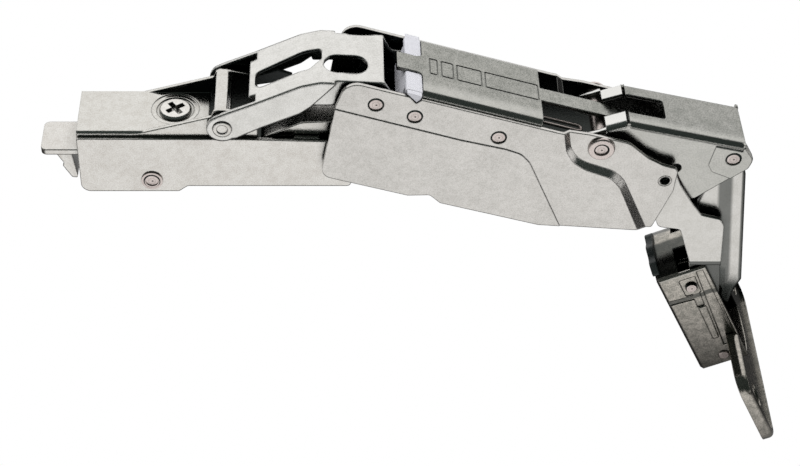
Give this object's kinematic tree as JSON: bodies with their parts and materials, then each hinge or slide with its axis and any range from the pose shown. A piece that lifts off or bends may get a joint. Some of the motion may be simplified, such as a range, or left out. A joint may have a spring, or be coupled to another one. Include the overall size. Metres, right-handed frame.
{
  "type": "concealed cup hinge",
  "caption": "Wide-opening concealed furniture hinge shown open: channel arm, knee bracket, link housing, cup levers and a flanged cup, with riveted pivots.",
  "frame": {"origin": "on the arm's centre plane, 0.3 mm over the flat top of the arm and straight below the knee pin, inside the channel that takes the mounting plate", "axes": "+X along the arm towards the door, +Y across the arm along every pivot, +Z away from the cabinet wall"},
  "size_m": [0.1962, 0.058, 0.1138],
  "materials": {
    "nickel_steel": "bright nickel plated sheet",
    "rivet_steel": "nickel plated, formed heads",
    "cover_steel": "fine grained nickel",
    "cup_steel": "nickel plated, slightly brown",
    "light_plastic": "light grey moulded",
    "dark_plastic": "dark moulded"
  },
  "bodies": {
    "arm": {"arm_housing": "nickel_steel", "arm_slide": "nickel_steel", "hook_rivet": "rivet_steel", "knee_pin": "rivet_steel", "inner_link_pin": "rivet_steel"},
    "screw": {"adjusting_screw": "nickel_steel"},
    "release": {"release_lever": "nickel_steel", "release_clip": "nickel_steel"},
    "knee": {"knee_bracket": "nickel_steel"},
    "link": {"inner_link": "nickel_steel"},
    "housing": {"side_plate_near": "nickel_steel", "side_plate_far": "nickel_steel", "top_cover": "cover_steel", "damper_body": "light_plastic", "shoulder_rivet_near": "rivet_steel", "shoulder_rivet_far": "rivet_steel", "knee_link_rivet": "rivet_steel", "inner_link_rivet": "rivet_steel", "lever_rivet": "rivet_steel", "wing_rivet_near": "rivet_steel", "wing_rivet_far": "rivet_steel", "hairpin_spring": "rivet_steel"},
    "wings": {"inner_cup_arm": "nickel_steel"},
    "lever": {"outer_lever": "nickel_steel", "lever_arm_rivet": "rivet_steel"},
    "cup_arm": {"outer_cup_arm": "nickel_steel", "arm_buffer": "light_plastic"},
    "cup": {"cup_pot": "cup_steel", "cup_flange": "cup_steel", "cup_lug": "cup_steel", "outer_arm_pin": "rivet_steel", "inner_arm_stub_near": "rivet_steel", "inner_arm_stub_far": "rivet_steel", "cup_rivet_front": "cup_steel", "cup_rivet_rear": "cup_steel", "cup_insert": "dark_plastic"}
  },
  "joints": [
    {"name": "knee_fold", "type": "hinge", "parent": "arm", "child": "knee", "pos_m": [0.00019, 0, 0.0025], "axis": [0, -1, 0], "range_deg": [0, 138]},
    {"name": "inner_link_pivot", "type": "hinge", "parent": "arm", "child": "link", "pos_m": [0.02123, 0, -0.00425], "axis": [0, -1, 0], "range_deg": [0, 138]},
    {"name": "housing_pivot", "type": "hinge", "parent": "knee", "child": "housing", "pos_m": [0.04789, 0, 0.00777], "axis": [0, 1, 0], "range_deg": [0, 138]},
    {"name": "wing_pivot", "type": "hinge", "parent": "housing", "child": "wings", "pos_m": [0.11212, 0, -0.01439], "axis": [0, -1, 0], "range_deg": [0, 61.6]},
    {"name": "cup_pivot", "type": "hinge", "parent": "wings", "child": "cup", "pos_m": [0.128, 0, -0.062], "axis": [0, -1, 0], "range_deg": [0, 88.4]},
    {"name": "lever_pivot", "type": "hinge", "parent": "housing", "child": "lever", "pos_m": [0.09495, 0, -0.00341], "axis": [0, -1, 0], "range_deg": [0, 35.2]},
    {"name": "arm_lever_pivot", "type": "hinge", "parent": "lever", "child": "cup_arm", "pos_m": [0.12924, 0, -0.00916], "axis": [0, -1, 0], "range_deg": [0, 3.2]},
    {"name": "release_pull", "type": "hinge", "parent": "arm", "child": "release", "pos_m": [-0.01836, 0, -0.01536], "axis": [0, 1, 0], "range_deg": [0, 6], "stiffness_Nm_per_rad": 0.05, "springref_deg": -2.86},
    {"name": "screw_turn", "type": "hinge", "parent": "arm", "child": "screw", "pos_m": [-0.0122, 0.0008, -0.0003], "axis": [0, 0, 1], "continuous": true}
  ],
  "couplings": [
    {"joint": "inner_link_pivot", "follows": "knee_fold", "ratio": 1},
    {"joint": "housing_pivot", "follows": "knee_fold", "ratio": 1},
    {"joint": "wing_pivot", "follows": "knee_fold", "ratio": 0.44638},
    {"joint": "cup_pivot", "follows": "knee_fold", "ratio": 0.64058},
    {"joint": "lever_pivot", "follows": "knee_fold", "ratio": 0.25507},
    {"joint": "arm_lever_pivot", "follows": "knee_fold", "ratio": 0.023188}
  ]
}
